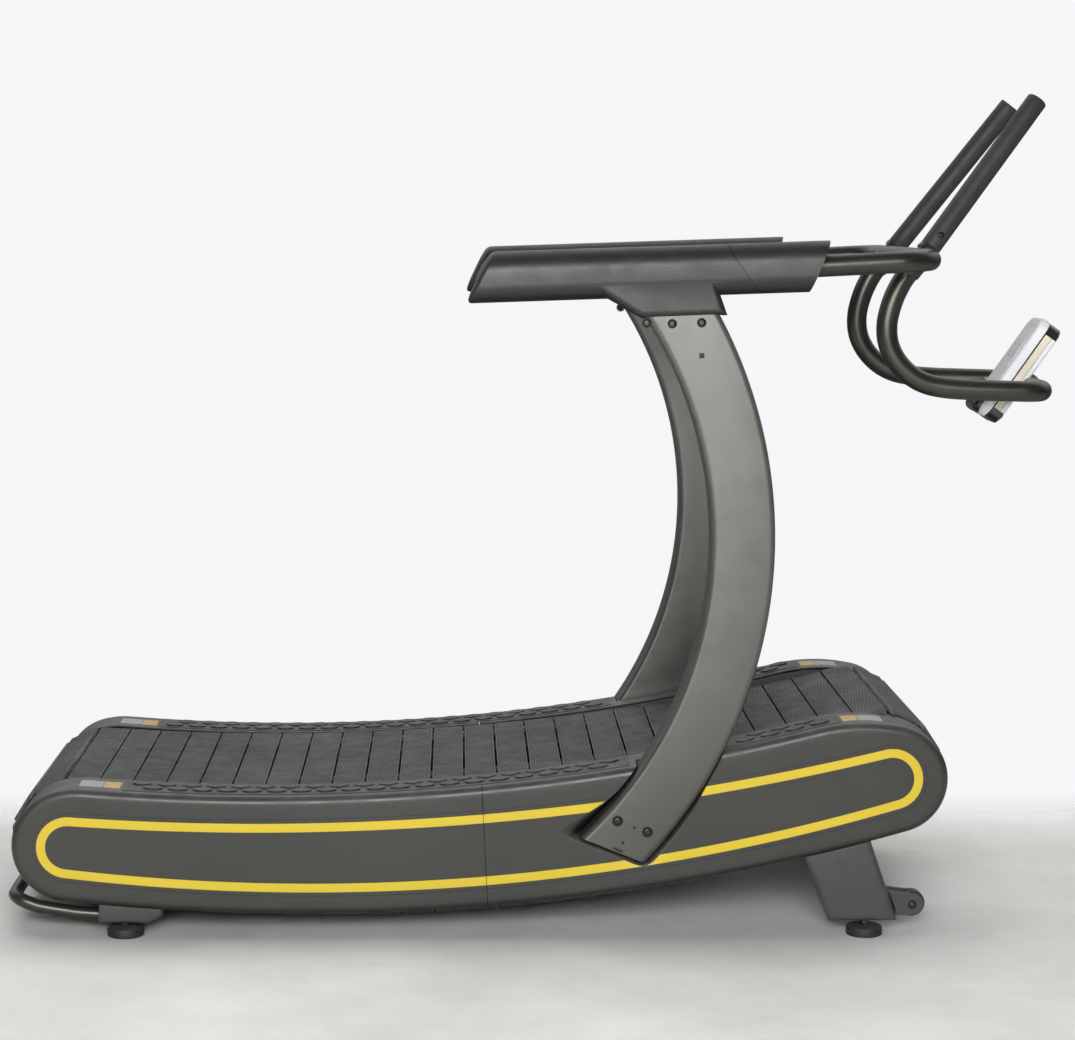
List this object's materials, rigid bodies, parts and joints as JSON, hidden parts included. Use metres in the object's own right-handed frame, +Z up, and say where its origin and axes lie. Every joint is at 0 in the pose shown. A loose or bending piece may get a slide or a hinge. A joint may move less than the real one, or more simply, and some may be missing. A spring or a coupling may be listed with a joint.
{
  "type": "curved manual treadmill",
  "caption": "Self-powered running machine with a concave slat belt between two long side covers, arched uprights, padded arms, front rails with a console loop and a small tilting display.",
  "frame": {"origin": "on the floor, at the middle of the overall length and width", "axes": "+X along the machine to its front, where the console is; +Y across it; +Z up"},
  "size_m": [1.9249, 0.77, 1.5049],
  "materials": {
    "frame_paint": "satin",
    "cover_plastic": "matte",
    "upright_paint": "satin",
    "arm_plastic": "matte",
    "tube_paint": "satin",
    "grip_foam": "matte",
    "slat_rubber": "matte",
    "strip_rubber": "matte",
    "belt_rubber": "matte",
    "stripe_vinyl": "gloss",
    "sticker_paper": "satin",
    "sticker_orange": "satin",
    "bare_steel": "satin",
    "screw_steel": "satin",
    "pulley_metal": "satin",
    "foot_rubber": "matte",
    "wheel_plastic": "satin",
    "console_plastic": "satin",
    "console_band": "satin",
    "console_lens": "gloss",
    "console_dark": "gloss",
    "button_plastic": "gloss"
  },
  "bodies": {
    "frame": {"side_frame_near": "frame_paint", "side_frame_far": "frame_paint", "guide_rail_near": "bare_steel", "guide_rail_far": "bare_steel", "cross_beam_rear": "frame_paint", "cross_beam_middle": "frame_paint", "cross_beam_front": "frame_paint", "bearing_block_front_near": "frame_paint", "bearing_block_front_far": "frame_paint", "bearing_block_rear_near": "frame_paint", "bearing_block_rear_far": "frame_paint", "cover_near_rear": "cover_plastic", "cover_far_rear": "cover_plastic", "cover_near_front": "cover_plastic", "cover_far_front": "cover_plastic", "tread_strip_near": "strip_rubber", "tread_strip_far": "strip_rubber", "upright_near": "upright_paint", "upright_far": "upright_paint", "arm_top_near": "arm_plastic", "arm_top_far": "arm_plastic", "arm_bottom_near": "arm_plastic", "arm_bottom_far": "arm_plastic", "arm_cap_near": "arm_plastic", "arm_cap_far": "arm_plastic", "front_bar": "tube_paint", "console_loop": "tube_paint", "grip_near": "grip_foam", "grip_far": "grip_foam", "rear_lift_bar": "tube_paint", "rear_foot_bracket_near": "frame_paint", "rear_foot_bracket_far": "frame_paint", "front_leg_near": "frame_paint", "front_leg_far": "frame_paint", "wheel_bracket_near": "frame_paint", "wheel_bracket_far": "frame_paint"},
    "belt_top_run": {"belt_top": "slat_rubber"},
    "belt_front_wrap": {"belt_front": "slat_rubber"},
    "belt_bottom_run": {"belt_bottom": "slat_rubber"},
    "belt_rear_wrap": {"belt_rear": "slat_rubber"},
    "front_drum": {"front_axle": "bare_steel", "front_pulley_near": "pulley_metal", "front_pulley_far": "pulley_metal"},
    "rear_drum": {"rear_axle": "bare_steel", "rear_pulley_near": "pulley_metal", "rear_pulley_far": "pulley_metal"},
    "console": {"console_front_shell": "console_plastic", "console_rear_shell": "console_plastic", "console_lens": "console_lens", "console_clamp": "frame_paint"},
    "mode_button": {"button_mode": "button_plastic"},
    "set_button": {"button_set": "button_plastic"},
    "reset_button": {"button_reset": "button_plastic"},
    "foot_rear_near": {"foot_rear_near": "foot_rubber"},
    "foot_rear_far": {"foot_rear_far": "foot_rubber"},
    "foot_front_near": {"foot_front_near": "foot_rubber"},
    "foot_front_far": {"foot_front_far": "foot_rubber"},
    "wheel_near": {"wheel_near": "wheel_plastic"},
    "wheel_far": {"wheel_far": "wheel_plastic"}
  },
  "joints": [
    {"name": "belt_travel", "type": "hinge", "parent": "frame", "child": "belt_top_run", "pos_m": [-0.5239, 0, 4.988], "axis": [0, 1, 0], "range_deg": [-0.3618, 0.3618]},
    {"name": "belt_front_travel", "type": "hinge", "parent": "frame", "child": "belt_front_wrap", "pos_m": [0.6121, 0, 0.28012], "axis": [0, 1, 0], "range_deg": [-16.74, 16.74]},
    {"name": "belt_rear_travel", "type": "hinge", "parent": "frame", "child": "belt_rear_wrap", "pos_m": [-0.8479, 0, 0.15585], "axis": [0, 1, 0], "range_deg": [-16.74, 16.74]},
    {"name": "belt_bottom_travel", "type": "hinge", "parent": "frame", "child": "belt_bottom_run", "pos_m": [-0.39148, 0, 3.43221], "axis": [0, 1, 0], "range_deg": [-0.5, 0.5]},
    {"name": "front_drum_spin", "type": "hinge", "parent": "frame", "child": "front_drum", "pos_m": [0.6121, 0, 0.28012], "axis": [0, 1, 0], "continuous": true},
    {"name": "rear_drum_spin", "type": "hinge", "parent": "frame", "child": "rear_drum", "pos_m": [-0.8479, 0, 0.15585], "axis": [0, 1, 0], "continuous": true},
    {"name": "console_tilt", "type": "hinge", "parent": "frame", "child": "console", "pos_m": [0.9071, 0, 0.968], "axis": [0, 1, 0], "range_deg": [-15, 25]},
    {"name": "mode_press", "type": "slide", "parent": "console", "child": "mode_button", "axis": [0.8241, 0, -0.5664], "range_m": [0, 0.0018], "stiffness_N_per_m": 500, "springref_m": -0.001},
    {"name": "set_press", "type": "slide", "parent": "console", "child": "set_button", "axis": [0.8241, 0, -0.5664], "range_m": [0, 0.0018], "stiffness_N_per_m": 500, "springref_m": -0.001},
    {"name": "reset_press", "type": "slide", "parent": "console", "child": "reset_button", "axis": [0.8241, 0, -0.5664], "range_m": [0, 0.0018], "stiffness_N_per_m": 500, "springref_m": -0.001},
    {"name": "foot_rear_near_level", "type": "slide", "parent": "frame", "child": "foot_rear_near", "axis": [0, 0, 1], "range_m": [-0.01, 0.004]},
    {"name": "foot_rear_far_level", "type": "slide", "parent": "frame", "child": "foot_rear_far", "axis": [0, 0, 1], "range_m": [-0.01, 0.004]},
    {"name": "foot_front_near_level", "type": "slide", "parent": "frame", "child": "foot_front_near", "axis": [0, 0, 1], "range_m": [-0.01, 0.004]},
    {"name": "foot_front_far_level", "type": "slide", "parent": "frame", "child": "foot_front_far", "axis": [0, 0, 1], "range_m": [-0.01, 0.004]},
    {"name": "wheel_near_spin", "type": "hinge", "parent": "frame", "child": "wheel_near", "pos_m": [0.6591, -0.311, 0.056], "axis": [0, 1, 0], "continuous": true},
    {"name": "wheel_far_spin", "type": "hinge", "parent": "frame", "child": "wheel_far", "pos_m": [0.6591, 0.311, 0.056], "axis": [0, 1, 0], "continuous": true}
  ],
  "couplings": [
    {"joint": "belt_front_travel", "follows": "belt_travel", "ratio": -46.249},
    {"joint": "belt_rear_travel", "follows": "belt_travel", "ratio": -46.249},
    {"joint": "belt_bottom_travel", "follows": "belt_travel", "ratio": -1.39},
    {"joint": "front_drum_spin", "follows": "belt_travel", "ratio": -46.249},
    {"joint": "rear_drum_spin", "follows": "belt_travel", "ratio": -46.249}
  ]
}
